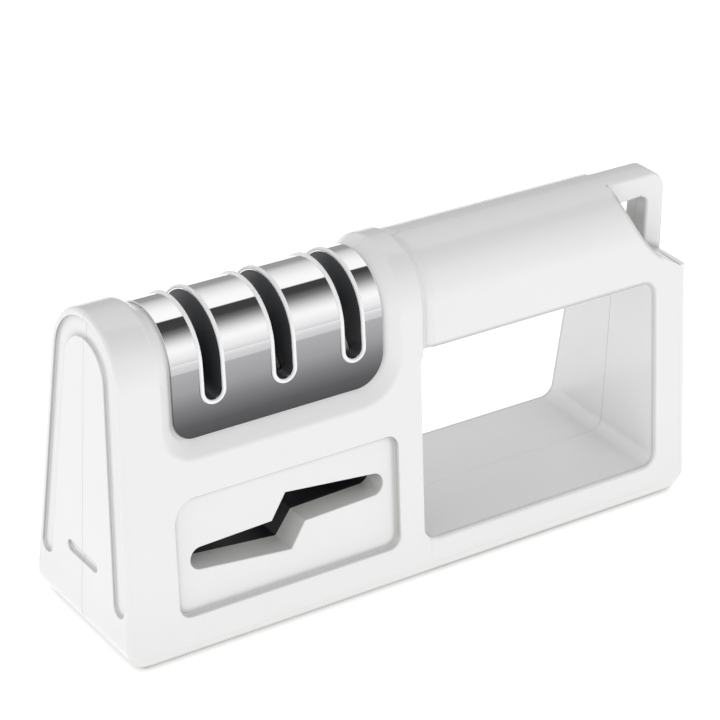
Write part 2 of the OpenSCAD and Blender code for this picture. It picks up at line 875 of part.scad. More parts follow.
// Tunnel between the two white lips, with the ears that carry the rocker
module scissors_guide() {
  ear_low = pivot_height - pivot_radius - 2;
  color("#202224") placed() difference() {
    union() {
      across(-guide_half, guide_half) scissors_shape(guide_wall + guide_gap);
      for (y = [-ear_out, ear_in])
        translate([scissors_middle - 4, y, ear_low])
          cube([8, ear_thick, scissors_height - ear_low]);
      for (x = guide_lugs) translate([x - lug_half, -lug_face, guide_lug_height - lug_half])
        cube([2 * lug_half, lug_thick, scissors_height - guide_lug_height + lug_half]);
    }
    across(-half_width, half_width) scissors_shape(guide_gap);
    translate([scissors_middle - 4.5, -rocker_half - side_gap, 0])
      cube([9, 2 * rocker_half + 2 * side_gap, rod_top + 4]);
    across(-half_width, half_width) translate([scissors_middle, pivot_height])
      circle(pivot_radius + snug);
    for (x = guide_lugs) across(-lug_face - past, 0) translate([x, guide_lug_height])
      circle(screw_radius + 0.1);
  }
}

module scissors_rocker() {
  block_low = pivot_height - block_drop;
  block_high = pivot_height + block_rise;
  color("#3a3d40") placed() difference() {
    union() {
      translate([scissors_middle - block_half, -rocker_half, block_low])
        cube([2 * block_half, 2 * rocker_half, block_high - block_low]);
      translate([scissors_middle, -spring_radius - 0.6, pivot_height - 1])
        cube([spring_arm + spring_radius + 0.6, 2 * spring_radius + 1.2, arm_top - pivot_height + 1]);
    }
    across(-half_width, half_width) translate([scissors_middle, pivot_height])
      circle(pivot_radius + running);
    translate([scissors_middle, 0, rod_foot()])
      cylinder(r = rod_radius + snug, h = rod_top);
  }
}

// Height of the rod's lower end in the rocker
function rod_foot() = pivot_height + pivot_radius + 0.6;

module scissors_rod() {
  color("#f0ece4") placed() translate([scissors_middle, 0, rod_foot()])
    cylinder(r = rod_radius, h = rod_top - rod_foot());
}

module rocker_pin() {
  color("#c8ccd0") placed() across(-ear_out, ear_out) translate([scissors_middle, pivot_height])
    circle(pivot_radius);
}

// Point of the spring's centre line at a share t of its length
function spring_point(t) = let (
    low = spring_low + spring_wire / 2,
    high = spring_high - spring_wire / 2,
    a = 360 * spring_curls * t
  ) [spring_radius * cos(a), spring_radius * sin(a), low + (high - low) * t];

// Ring of the spring's wire at one point, square to the level direction of travel
function spring_ring(i, rings, sides) = let (
    p = spring_point(i / rings),
    a = 360 * spring_curls * i / rings
  ) [for (k = [0:sides - 1]) let (b = 360 * k / sides)
    [p[0] + spring_wire / 2 * cos(b) * cos(a), p[1] + spring_wire / 2 * cos(b) * sin(a),
      p[2] + spring_wire / 2 * sin(b)]];

module rocker_spring() {
  sides = 6;
  rings = 8 * spring_curls;
  points = [for (i = [0:rings]) each spring_ring(i, rings, sides)];
  skin = [for (i = [0:rings - 1], k = [0:sides - 1]) let (
      a = i * sides + k,
      b = i * sides + (k + 1) % sides
    ) each [[a, b, b + sides], [a, b + sides, a + sides]]];
  caps = [[for (k = [sides - 1:-1:0]) k], [for (k = [0:sides - 1]) rings * sides + k]];
  pitch = (spring_high - spring_low - spring_wire) / spring_curls;
  echo(spring_least_gap = pitch - spring_wire);
  color("#c8ccd0") placed() translate([spring_x, 0, 0])
    polyhedron(points = points, faces = concat(skin, caps), convexity = 6);
}

// One screw along Y: its head ends at seat, and its shank reaches to tip
module level_screw(station, height, seat, tip) {
  difference() {
    union() {
      across(seat, seat + screw_head_high) translate([station, height]) circle(screw_head);
      across(tip, seat + 0.1) translate([station, height]) circle(screw_radius);
    }
    for (turn = [0, 90]) across(seat + screw_head_high - 1, seat + screw_head_high + past)
      translate([station, height]) rotate(turn) square([0.7, 2.8], center = true);
  }
}

module unit_screws() {
  color("#8c8f94") placed() {
    for (x = cartridge_lugs) level_screw(x, lug_height, lug_thick - lug_face, screw_tip);
    for (x = guide_lugs) level_screw(x, guide_lug_height, lug_thick - lug_face, screw_tip);
  }
}

module housing_screws() {
  color("#8c8f94") placed() for (s = housing_spots) level_screw(s[0], s[1], head_seat, -screw_reach);
}

module rubber_feet() {
  color("#9a9a98") placed() for (s = feet_spots, side = [-1, 1])
    translate([s[0], side * s[1], -foot_proud]) cylinder(r = foot_radius, h = foot_thick);
}

front_shell();
rear_shell();
chrome_cover();
slot_cartridge();
carbide_blade_front();
carbide_blade_rear();
carbide_holder();
carbide_clamp_screw();
holder_screws();
medium_axle();
medium_hub();
medium_wheel_left();
medium_wheel_right();
fine_axle();
fine_hub();
fine_wheel_left();
fine_wheel_right();
axle_clips();
scissors_guide();
scissors_rocker();
scissors_rod();
rocker_pin();
rocker_spring();
unit_screws();
housing_screws();
rubber_feet();
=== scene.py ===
"""Visual model of a hand-held knife and scissors sharpener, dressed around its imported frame."""
import logging
import math
from collections.abc import Callable
from dataclasses import dataclass, field, replace
from enum import Enum

import bmesh
import bpy
from bmesh.types import BMEdge, BMesh, BMFace
from bpy.types import Material, Mesh, Node, NodeTree, Object
from bpy.types import NodeSocket as Socket
from mathutils import Matrix, Vector


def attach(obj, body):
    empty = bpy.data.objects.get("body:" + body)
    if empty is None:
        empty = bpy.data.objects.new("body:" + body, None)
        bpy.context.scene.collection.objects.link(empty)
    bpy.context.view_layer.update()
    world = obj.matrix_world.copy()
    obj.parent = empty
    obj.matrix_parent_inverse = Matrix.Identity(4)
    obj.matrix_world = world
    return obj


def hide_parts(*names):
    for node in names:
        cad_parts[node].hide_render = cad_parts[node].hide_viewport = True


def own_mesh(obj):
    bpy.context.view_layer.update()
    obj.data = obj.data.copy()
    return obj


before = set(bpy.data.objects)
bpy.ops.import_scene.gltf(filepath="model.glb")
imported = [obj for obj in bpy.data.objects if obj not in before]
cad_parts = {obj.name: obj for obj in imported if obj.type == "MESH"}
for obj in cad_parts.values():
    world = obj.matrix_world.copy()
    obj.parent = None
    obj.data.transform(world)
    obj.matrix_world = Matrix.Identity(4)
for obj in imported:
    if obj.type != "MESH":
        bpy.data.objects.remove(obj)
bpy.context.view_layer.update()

log = logging.getLogger("sharpener")

Colour = tuple[float, float, float, float]
Triple = tuple[float, float, float]
Span = tuple[float, float]
HexStops = tuple[tuple[float, str], ...]
GreyStops = tuple[Span, ...]
ColourStops = tuple[tuple[float, Colour], ...]

MM = 0.001
ROOT_BODY = "casing"

# Sizes that the looks share with the solids, in millimetres. X runs from the middle of the body.
HALF_LENGTH = 90.6
HALF_WIDTH = 24.8
FLOOR_GAP = 0.5
AXIS_HEIGHT = 75.2
COLLAR_RADIUS = 16.8
HANDLE_RADIUS = 15.9
HANDLE_START = 2.1
END_LEAN = 1.3
LEFT_CORNER = 7.0
RIGHT_CORNER = 9.0


class EdgeKind(Enum):
    """Where an edge of a shell lies, with the width of its rounding in millimetres."""

    SHARP = 0.0
    PARTING = 0.16
    FINE = 0.3
    RIM = 0.45
    RECESS = 0.6
    LOOP = 0.9


def linear(code: str) -> Colour:
    """Turn an sRGB hex colour into linear values.

    Args:
        code: Six hex digits after a hash sign.

    Returns:
        Linear red, green, blue and an alpha of 1.
    """
    digits = code.lstrip("#")
    channels = [int(digits[i : i + 2], 16) / 255 for i in (0, 2, 4)]
    return tuple(
        c / 12.92 if c <= 0.04045 else ((c + 0.055) / 1.055) ** 2.4 for c in channels
    ) + (1.0,)


def add_node(
    tree: NodeTree,
    kind: str,
    inputs: dict[str, object] | None = None,
    stops: ColourStops = (),
    **settings: object,
) -> Node:
    """Add one node with its settings, values and links.

    Args:
        tree: The node tree that gets the node.
        kind: The node's type name.
        inputs: Values or output sockets, keyed by the input's name.
        stops: Place and linear colour of each stop, in rising order, for a colour ramp.
        **settings: Properties of the node itself.

    Returns:
        The new node.
    """
    made = tree.nodes.new(kind)
    for key, value in settings.items():
        setattr(made, key, value)
    for key, value in (inputs or {}).items():
        if isinstance(value, Socket):
            tree.links.new(value, made.inputs[key])
        else:
            made.inputs[key].default_value = value
    if stops:
        marks = made.color_ramp.elements
        marks[0].position, marks[0].color = stops[0]
        marks[1].position, marks[1].color = stops[-1]
        for place, colour in stops[1:-1]:
            marks.new(place).color = colour
    return made


def linked(name: str, data: bpy.types.ID) -> Object:
    """Put a mesh, a camera or a light into the scene as an object at the origin.

    Args:
        name: The object's name.
        data: What the object shows.

    Returns:
        The new object.
    """
    made = bpy.data.objects.new(name, data)
    bpy.context.scene.collection.objects.link(made)
    return made


def modified(
    mesh: Mesh,
    name: str,
    kind: str,
    sockets: dict[str, object] | None = None,
    **settings: object,
) -> Mesh:
    """Run one modifier over a mesh and keep the result as a plain mesh.

    Args:
        mesh: The mesh to start from.
        name: Name of the new mesh.
        kind: The modifier's type name.
        sockets: Value of each input of a Geometry Nodes tree, by the socket's identifier.
        **settings: Properties of the modifier.

    Returns:
        The new mesh.
    """
    holder = linked(name + "_holder", mesh)
    modifier = holder.modifiers.new(kind, kind)
    for key, value in settings.items():
        setattr(modifier, key, value)
    for key, value in (sockets or {}).items():
        modifier[key] = value
    graph = bpy.context.evaluated_depsgraph_get()
    made = bpy.data.meshes.new_from_object(
        holder.evaluated_get(graph), preserve_all_data_layers=True, depsgraph=graph
    )
    made.name = name
    bpy.data.objects.remove(holder)
    return made


@dataclass
class Recipe:
    """A Geometry Nodes tree, with the socket type and the value of each of its named inputs."""

    name: str
    inputs: dict[str, tuple[str, object]]
    tree: NodeTree = field(init=False)
    given: bpy.types.bpy_prop_collection = field(init=False)

    def __post_init__(self) -> None:
        """Start the tree with its sockets."""
        self.tree = bpy.data.node_groups.new(self.name, "GeometryNodeTree")
        sockets = self.tree.interface
        for way in ("INPUT", "OUTPUT"):
            sockets.new_socket("Geometry", in_out=way, socket_type="NodeSocketGeometry")
        for label, (kind, _) in self.inputs.items():
            sockets.new_socket(label, in_out="INPUT", socket_type=kind)
        self.given = add_node(self.tree, "NodeGroupInput").outputs

    def cooked(self, shape: Socket, start: Mesh) -> Mesh:
        """End the tree, run it on a mesh and keep the result as a plain mesh.

        Args:
            shape: The socket of the finished geometry.
            start: The mesh that the tree gets.

        Returns:
            The finished mesh, with its material.
        """
        real = add_node(self.tree, "GeometryNodeRealizeInstances", {"Geometry": shape})
        dressed = add_node(
            self.tree,
            "GeometryNodeSetMaterial",
            {"Geometry": real.outputs["Geometry"], "Material": self.given["Material"]},
        )
        add_node(self.tree, "NodeGroupOutput", {"Geometry": dressed.outputs["Geometry"]})
        sockets = {
            item.identifier: self.inputs[item.name][1]
            for item in self.tree.interface.items_tree
            if item.name in self.inputs
        }
        return modified(start, self.name, "NODES", sockets, node_group=self.tree)


def side_lean(radius: float) -> float:
    """Lean of the flat side that is tangent to a round top, in radians.

    Args:
        radius: Radius of the round top in millimetres.

    Returns:
        The angle from upright.
    """
    height = AXIS_HEIGHT - FLOOR_GAP
    return math.acos(radius / math.hypot(HALF_WIDTH, height)) - math.atan2(height, HALF_WIDTH)


def end_station(height: float) -> float:
    """Place of the leaning left end along X, in millimetres.

    Args:
        height: Height over the floor.

    Returns:
        The place along X.
    """
    above = max(0.0, height - FLOOR_GAP - LEFT_CORNER)
    return -HALF_LENGTH + above * math.tan(math.radians(END_LEAN))


def skin_reach(height: float, radius: float) -> float:
    """Distance of the front skin from the middle plane at one height, in millimetres.

    Args:
        height: Height over the floor.
        radius: Radius of the round top.

    Returns:
        The distance from the middle plane.
    """
    lean = side_lean(radius)
    tangent = AXIS_HEIGHT + radius * math.sin(lean)
    if height > tangent:
        return math.sqrt(max(0.0, radius**2 - (height - AXIS_HEIGHT) ** 2))
    return radius * math.cos(lean) + (tangent - height) * math.tan(lean)


def depth_under_skin(point: Vector, radius: float) -> float:
    """Depth of a point under the body's outer section.

    Args:
        point: Point in millimetres.
        radius: Radius of the round top of that section.

    Returns:
        Depth in millimetres, positive inside the body.
    """
    lean = side_lean(radius)
    above = point.z - AXIS_HEIGHT
    if above > radius * math.sin(lean):
        return radius - math.hypot(point.y, above)
    side = HALF_WIDTH - (point.z - FLOOR_GAP) * math.tan(lean) - abs(point.y)
    return side * math.cos(lean)


@dataclass(frozen=True)
class Finish:
    """What every finish has: a name, and the way its surface becomes a material."""

    name: str

    def surface(self, tree: NodeTree, place: Socket) -> dict[str, object]:
        """Work out what the shader gets.

        Args:
            tree: The material's node tree.
            place: The socket of the object's coordinates.

        Returns:
            A value or a socket for each input of the shader that the finish sets.
        """
        raise NotImplementedError

    def build(self) -> Material:
        """Build the material.

        Returns:
            The finished material.
        """
        material = bpy.data.materials.new(self.name)
        material.use_nodes = True
        tree = material.node_tree
        tree.nodes.clear()
        place = add_node(tree, "ShaderNodeTexCoord").outputs["Object"]
        shader = add_node(tree, "ShaderNodeBsdfPrincipled", self.surface(tree, place))
        add_node(tree, "ShaderNodeOutputMaterial", {"Surface": shader.outputs["BSDF"]})
        return material


@dataclass(frozen=True)
class PaintedShade:
    """Painted shade that gathers in hollows, by how much of its surroundings a point still sees."""

    reach_mm: float
    stops: HexStops
    samples: int = 4
    inside: bool = False

    def share(self, tree: NodeTree, place: Socket) -> float | Socket:
        """How strongly the shade shows: everywhere alike."""
        return 1.0

    def shaded(self, tree: NodeTree, place: Socket, colour: Socket) -> Socket:
        """Lay the painted shade over a colour.

        Args:
            tree: The material's node tree.
            place: The socket of the object's coordinates.
            colour: The socket of the colour so far.

        Returns:
            The socket of the shaded colour.
        """
        # Ambient occlusion sets where the painted shade darkens the colour.
        seen = add_node(
            tree,
            "ShaderNodeAmbientOcclusion",
            {"Distance": self.reach_mm * MM},
            samples=self.samples,
            inside=self.inside,
            only_local=self.inside,
        )
        shade_tint = add_node(
            tree,
            "ShaderNodeValToRGB",
            {"Fac": seen.outputs["AO"]},
            stops=tuple((share, linear(code)) for share, code in self.stops),
        )
        darker = add_node(
            tree,
            "ShaderNodeMix",
            {"Factor": self.share(tree, place), "A": colour, "B": shade_tint.outputs["Color"]},
            data_type="RGBA",
            blend_type="MULTIPLY",
        )
        return darker.outputs[2]


@dataclass(frozen=True)
class PaintedShadeNotFacingUp(PaintedShade):
    """Painted shade that faces looking up are free of, as more light falls on them."""

    facing_span: Span = (-0.4, 0.5)

    def share(self, tree: NodeTree, place: Socket) -> Socket:
        """How strongly the shade shows, by the upward part of the surface's normal.

        Args:
            tree: The material's node tree.
            place: The socket of the object's coordinates; not used.

        Returns:
            The socket of the share.
        """
        facing = add_node(tree, "ShaderNodeNewGeometry").outputs["Normal"]
        upward = add_node(tree, "ShaderNodeSeparateXYZ", {"Vector": facing}).outputs["Z"]
        low, high = self.facing_span
        share = add_node(
            tree,
            "ShaderNodeMapRange",
            {"Value": upward, "From Min": low, "From Max": high, "To Min": 1.0, "To Max": 0.0},
        )
        return share.outputs["Result"]


@dataclass(frozen=True)
class PaintedRimShade(PaintedShade):
    """A painted grey line of shade along the rims of one stretch, in place of the dark that a
    glossy rim would mirror from below.

    Each span runs from where the line is full to where it is gone.
    """

    inside: bool = True
    start_mm: Span = (5.0, 1.0)
    end_mm: Span = (80.0, 82.0)
    parting_mm: Span = (9.0, 6.0)

    def share(self, tree: NodeTree, place: Socket) -> float | Socket:
        """How strongly the line shows: it fades at its ends and towards the parting line.

        Args:
            tree: The material's node tree.
            place: The socket of the object's coordinates.

        Returns:
            The socket of the share.
        """
        split = add_node(tree, "ShaderNodeSeparateXYZ", {"Vector": place})
        along = split.outputs["X"]
        side = add_node(
            tree, "ShaderNodeMath", {"Value": split.outputs["Y"]}, operation="ABSOLUTE"
        ).outputs["Value"]
        share: float | Socket = 1.0
        for value, (full, gone) in (
            (along, self.start_mm),
            (along, self.end_mm),
            (side, self.parting_mm),
        ):
            share = add_node(
                tree,
                "ShaderNodeMapRange",
                {
                    "Value": value,
                    "From Min": full * MM,
                    "From Max": gone * MM,
                    "To Min": share,
                    "To Max": 0.0,
                },
            ).outputs["Result"]
        return share


@dataclass(frozen=True)
class MouldedPlastic(Finish):
    """Moulded plastic: an even colour, a shallow wave of the tool's polish, a fine grain."""

    colour: str
    shade: str
    roughness: float
    wave_mm: float
    wave_depth_mm: float
    grain_mm: float
    grain_depth_mm: float
    ior: float = 1.54
    coat: float = 0.0
    coat_roughness: float = 0.1
    cloud_mm: float = 22.0
    gloss_spread: float = 0.04
    painted_shades: tuple[PaintedShade, ...] = ()

    def surface(self, tree: NodeTree, place: Socket) -> dict[str, object]:
        """Work out what the shader gets.

        Args:
            tree: The material's node tree.
            place: The socket of the object's coordinates.

        Returns:
            The shader's inputs.
        """
        cloud, wave, grain = (
            add_node(
                tree,
                "ShaderNodeTexNoise",
                {"Vector": place, "Scale": 1 / (size_mm * MM), "Detail": detail},
            ).outputs["Fac"]
            for size_mm, detail in (
                (self.cloud_mm, 3.0), (self.wave_mm, 1.0), (self.grain_mm, 2.0)
            )
        )
        colour = add_node(
            tree,
            "ShaderNodeMix",
            {"Factor": cloud, "A": linear(self.colour), "B": linear(self.shade)},
            data_type="RGBA",
        ).outputs[2]
        # Layers of painted shade darken the colour in hollows and along rims.
        for painted_shade in self.painted_shades:
            colour = painted_shade.shaded(tree, place, colour)
        gloss = add_node(
            tree,
            "ShaderNodeMapRange",
            {
                "Value": grain,
                "To Min": self.roughness - self.gloss_spread,
                "To Max": self.roughness + self.gloss_spread,
            },
        )
        relief: dict[str, object] = {"Strength": 1.0}
        for pattern, depth_mm in ((wave, self.wave_depth_mm), (grain, self.grain_depth_mm)):
            relief |= {"Height": pattern, "Distance": depth_mm * MM}
            relief["Normal"] = add_node(tree, "ShaderNodeBump", relief).outputs["Normal"]
        return {
            "Base Color": colour,
            "Roughness": gloss.outputs["Result"],
            "Normal": relief["Normal"],
            "IOR": self.ior,
            "Coat Weight": self.coat,
            "Coat Roughness": self.coat_roughness,
        }


@dataclass(frozen=True)
class PolishedSheet(Finish):
    """Bent steel sheet, buffed along its length, with a painted reflection: a tone for each height.
    """

    painted_reflection_tones: HexStops
    roughness: float
    line_mm: float = 0.35
    line_stretch: float = 0.02
    gloss_spread: float = 0.4

    def surface(self, tree: NodeTree, place: Socket) -> dict[str, object]:
        """Work out what the shader gets.

        Args:
            tree: The material's node tree.
            place: The socket of the object's coordinates.

        Returns:
            The shader's inputs.
        """
        # Painted reflection: the sheet's colour follows its height.
        low, high = self.painted_reflection_tones[0][0], self.painted_reflection_tones[-1][0]
        height = add_node(tree, "ShaderNodeSeparateXYZ", {"Vector": place}).outputs["Z"]
        share = add_node(
            tree,
            "ShaderNodeMapRange",
            {"Value": height, "From Min": low * MM, "From Max": high * MM},
        )
        tone = add_node(
            tree,
            "ShaderNodeValToRGB",
            {"Fac": share.outputs["Result"]},
            stops=tuple(((z - low) / (high - low), linear(code)) for z, code in self.painted_reflection_tones),
        )
        drawn = add_node(
            tree, "ShaderNodeMapping", {"Vector": place, "Scale": (self.line_stretch, 1.0, 1.0)}
        ).outputs["Vector"]
        lines = add_node(
            tree,
            "ShaderNodeTexNoise",
            {"Vector": drawn, "Scale": 1 / (self.line_mm * MM), "Detail": 2.0},
        )
        gloss = add_node(
            tree,
            "ShaderNodeMapRange",
            {
                "Value": lines.outputs["Fac"],
                "To Min": self.roughness * (1.0 - self.gloss_spread),
                "To Max": self.roughness * (1.0 + self.gloss_spread),
            },
        )
        return {
            "Base Color": tone.outputs["Color"],
            "Roughness": gloss.outputs["Result"],
            "Metallic": 1.0,
        }


@dataclass(frozen=True)
class WorkedMetal(Finish):
    """Ground or turned metal with fine tool lines across one axis."""

    colour: str
    shade: str
    roughness: float
    line_mm: float
    line_depth_mm: float
    along: Triple = (1.0, 1.0, 0.05)
    gloss_spread: float = 0.07
    line_strength: float = 0.6

    def surface(self, tree: NodeTree, place: Socket) -> dict[str, object]:
        """Work out what the shader gets.

        Args:
            tree: The material's node tree.
            place: The socket of the object's coordinates.

        Returns:
            The shader's inputs.
        """
        drawn = add_node(
            tree, "ShaderNodeMapping", {"Vector": place, "Scale": self.along}
        ).outputs["Vector"]
        lines = add_node(
            tree,
            "ShaderNodeTexNoise",
            {"Vector": drawn, "Scale": 1 / (self.line_mm * MM), "Detail": 3.0},
        ).outputs["Fac"]
        tone = add_node(
            tree,
            "ShaderNodeMix",
            {"Factor": lines, "A": linear(self.colour), "B": linear(self.shade)},
            data_type="RGBA",
        )
        gloss = add_node(
            tree,
            "ShaderNodeMapRange",
            {
                "Value": lines,
                "To Min": self.roughness - self.gloss_spread,
                "To Max": self.roughness + self.gloss_spread,
            },
        )
        cut = add_node(
            tree,
            "ShaderNodeBump",
            {"Height": lines, "Distance": self.line_depth_mm * MM, "Strength": self.line_strength},
        )
        return {
            "Base Color": tone.outputs[2],
            "Roughness": gloss.outputs["Result"],
            "Normal": cut.outputs["Normal"],
            "Metallic": 1.0,
        }


@dataclass(frozen=True)
class GritSurface(Finish):
    """Abrasive grains in a bond, such as diamond in nickel, or fired ceramic."""

    bond: str
    grain: str
    roughness: float
    metallic: float
    grit_mm: float
    grit_depth_mm: float
    grit_strength: float = 0.7

    def surface(self, tree: NodeTree, place: Socket) -> dict[str, object]:
        """Work out what the shader gets.

        Args:
            tree: The material's node tree.
            place: The socket of the object's coordinates.

        Returns:
            The shader's inputs.
        """
        cells = add_node(
            tree, "ShaderNodeTexVoronoi", {"Vector": place, "Scale": 1 / (self.grit_mm * MM)}
        ).outputs["Distance"]
        tone = add_node(
            tree,
            "ShaderNodeMix",
            {"Factor": cells, "A": linear(self.grain), "B": linear(self.bond)},
            data_type="RGBA",
        )
        bumps = add_node(
            tree,
            "ShaderNodeBump",
            {"Height": cells, "Distance": self.grit_depth_mm * MM, "Strength": self.grit_strength},
            invert=True,
        )
        return {
            "Base Color": tone.outputs[2],
            "Roughness": self.roughness,
            "Normal": bumps.outputs["Normal"],
            "Metallic": self.metallic,
        }


# White ABS from a polished mould: even and milky, with soft bands of light. Painted shade darkens
# it to a warm grey in corners, deep hollows and the window, and a painted grey line of shade
# follows the window's rim.
WHITE_ABS = MouldedPlastic(
    "white_abs_polished_mould",
    colour="#eeeeee",
    shade="#ebebec",
    roughness=0.3,
    wave_mm=4.0,
    wave_depth_mm=0.003,
    grain_mm=0.35,
    grain_depth_mm=0.0006,
    ior=1.5,
    coat=0.6,
    # Painted shade: inside corners away from the top, deep slots down to near black, the window's
    # depth, the window's rim.
    painted_shades=(
        PaintedShadeNotFacingUp(2.0, ((0.7, "#b0ada8"), (0.92, "#ffffff"))),
        PaintedShade(12.0, ((0.06, "#6a6a69"), (0.2, "#f4f4f2"), (0.3, "#ffffff"))),
        PaintedShade(60.0, ((0.1, "#ffffff"), (0.3, "#e8e9e4"), (0.56, "#ffffff"))),
        PaintedRimShade(1.4, ((0.56, "#878685"), (0.84, "#ffffff"))),
    ),
)
# The slots' lips: a clean white line, a painted highlight for the light that the cover's raised
# slot rims catch.
LIP_PAINTED_HIGHLIGHT = MouldedPlastic(
    "slot_lips_painted_highlight", "#fbfbfb", "#f6f6f6", 0.22, 3.0, 0.002, 0.3, 0.0004, coat=0.3
)
# Black ABS from a spark-eroded tool: a dull, fine-grained black.
BLACK_ABS = MouldedPlastic(
    "black_abs_spark_eroded", "#26282c", "#1d1f22", 0.42, 3.0, 0.004, 0.25, 0.004
)
# Graphite-grey ABS of the slotted unit: dull, and light enough to show its walls.
GREY_ABS = MouldedPlastic(
    "graphite_abs_spark_eroded", "#4b4d52", "#414348", 0.4, 3.0, 0.004, 0.25, 0.004
)
# Buffed stainless steel: a mirror with faint lines along its length, and a painted reflection:
# darker by height below the bend, with a step where the bend meets the flat.
COVER_STEEL = PolishedSheet(
    "stainless_sheet_buffed",
    painted_reflection_tones=(
        (58.0, "#4a4a4c"),
        (62.0, "#565658"),
        (66.8, "#757577"),
        (71.4, "#949496"),
        (76.6, "#a2a2a4"),
        (76.9, "#bdbdbf"),
        (78.2, "#c5c5c7"),
        (80.2, "#e8e8e9"),
        (82.5, "#f7f7f8"),
    ),
    roughness=0.05,
)
# Sintered tungsten carbide, surface-ground: dark grey with grinding lines.
CARBIDE = WorkedMetal("tungsten_carbide_ground", "#8a8a8e", "#707075", 0.32, 0.15, 0.003)
# Zinc-plated steel, turned: pale grey with fine lines round the axis.
PLATED_STEEL = WorkedMetal(
    "zinc_plated_steel_turned", "#c4c7ca", "#a9adb2", 0.28, 0.12, 0.002, (0.05, 1.0, 1.0)
)
# Drawn spring wire: bright, smooth, lightly oiled.
SPRING_WIRE = WorkedMetal("spring_steel_drawn", "#b9bcc0", "#9a9da2", 0.24, 0.1, 0.001)
# Diamond grit in electroplated nickel. The grit is drawn at 0.35 mm so that it shows.
DIAMOND = GritSurface("diamond_grit_in_nickel", "#6f6e6a", "#b7b5ae", 0.42, 0.8, 0.35, 0.05)
# Fired alumina: chalky, off-white, with a fine tooth.
CERAMIC = GritSurface("alumina_fired", "#ded9cf", "#f0ece4", 0.62, 0.0, 0.3, 0.02)
# Moulded rubber of the feet: dull and slightly dusty.
FOOT_RUBBER = MouldedPlastic(
    "rubber_compression_moulded", "#2a2a2a", "#1f1f1f", 0.75, 2.0, 0.01, 0.4, 0.01, ior=1.52
)


def new_piece(
    name: str,
    mesh: Mesh,
    node: str,
    material: Material | None = None,
) -> Object:
    """Make a finished piece at the origin, which stands for a CAD node of the fixed body.

    Args:
        name: The piece's name.
        mesh: Its mesh, in metres and in the shared frame.
        node: The CAD node that it replaces.
        material: Its material, unless the mesh already has it.

    Returns:
        The new object.
    """
    if material:
        mesh.materials.clear()
        mesh.materials.append(material)
    piece = linked(name, mesh)
    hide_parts(node)
    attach(piece, ROOT_BODY)
    log.info("%s: %d faces", name, len(mesh.polygons))
    return piece


@dataclass
class SoftEdges:
    """Rounds the sharp edges of a moulded or pressed piece, each by what it is."""

    widest_mm: float = EdgeKind.LOOP.value
    steps: int = 4
    sharp_deg: float = 24.0
    merge_mm: float = 0.04
    flat_deg: float = 0.2
    crisp_deg: float = 24.0
    face_weight: int = 60

    def joined_copy(self, node: str) -> BMesh:
        """Copy a node's mesh and merge its loose triangles.

        Args:
            node: Name of the CAD node.

        Returns:
            The merged mesh.
        """
        work = bmesh.new()
        work.from_mesh(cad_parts[node].data)
        bmesh.ops.remove_doubles(work, verts=work.verts, dist=self.merge_mm * MM)
        return work

    def plain(self, work: BMesh, name: str) -> Mesh:
        """Turn a working mesh into a smooth-shaded mesh without stored normals.

        Args:
            work: The working mesh, which is used up.
            name: Name of the new mesh.

        Returns:
            The plain mesh.
        """
        for face in work.faces:
            face.smooth = True
        mesh = bpy.data.meshes.new(name)
        work.to_mesh(mesh)
        work.free()
        if mesh.attributes.get("custom_normal"):
            mesh.attributes.remove(mesh.attributes["custom_normal"])
        return mesh

    def carved(
        self, work: BMesh, cutter: Mesh, name: str
    ) -> BMesh:
        """Cut a closed tool out of a working mesh.

        Args:
            work: The working mesh, which is used up.
            cutter: The tool.
            name: Name for the meshes in between.

        Returns:
            The cut mesh.
        """
        body = self.plain(work, name + "_body")
        tool = linked(name + "_tool", cutter)
        mesh = modified(
            body, name + "_cut", "BOOLEAN", operation="DIFFERENCE", solver="EXACT", object=tool
        )
        bpy.data.objects.remove(tool)
        result = bmesh.new()
        result.from_mesh(mesh)
        bmesh.ops.remove_doubles(result, verts=result.verts, dist=self.merge_mm * MM)
        return result

    def round_edges(
        self, work: BMesh, width_of: Callable[[BMEdge], float], name: str
    ) -> Mesh:
        """Round each sharp edge by the width that a rule gives it.

        Args:
            work: The merged mesh, which is used up.
            width_of: Function from an edge to its width in millimetres, or 0.
            name: Name of the new mesh.

        Returns:
            A plain mesh with rounded edges and even shading.
        """
        bmesh.ops.dissolve_limit(
            work,
            angle_limit=math.radians(self.flat_deg),
            use_dissolve_boundaries=False,
            verts=work.verts,
            edges=work.edges,
        )
        weights = work.edges.layers.float.new("bevel_weight_edge")
        for edge in work.edges:
            if len(edge.link_faces) != 2:
                continue
            if edge.calc_face_angle(0.0) < math.radians(self.sharp_deg):
                continue
            edge[weights] = width_of(edge) / self.widest_mm
        rounded = modified(
            self.plain(work, name + "_sharp"),
            name + "_rounded",
            "BEVEL",
            width=self.widest_mm * MM,
            segments=self.steps,
            limit_method="WEIGHT",
            use_clamp_overlap=False,
            miter_outer="MITER_ARC",
        )
        rounded.set_sharp_from_angle(angle=math.radians(self.crisp_deg))
        return modified(
            rounded,
            name,
            "WEIGHTED_NORMAL",
            mode="FACE_AREA",
            weight=self.face_weight,
            keep_sharp=True,
        )


@dataclass(frozen=True)
class RimPoint:
    """One station along the body's rim: its place, its two outward normals, its rounding."""

    spot: Vector
    side: Vector
    rim: Vector
    width: float
    roundness: float


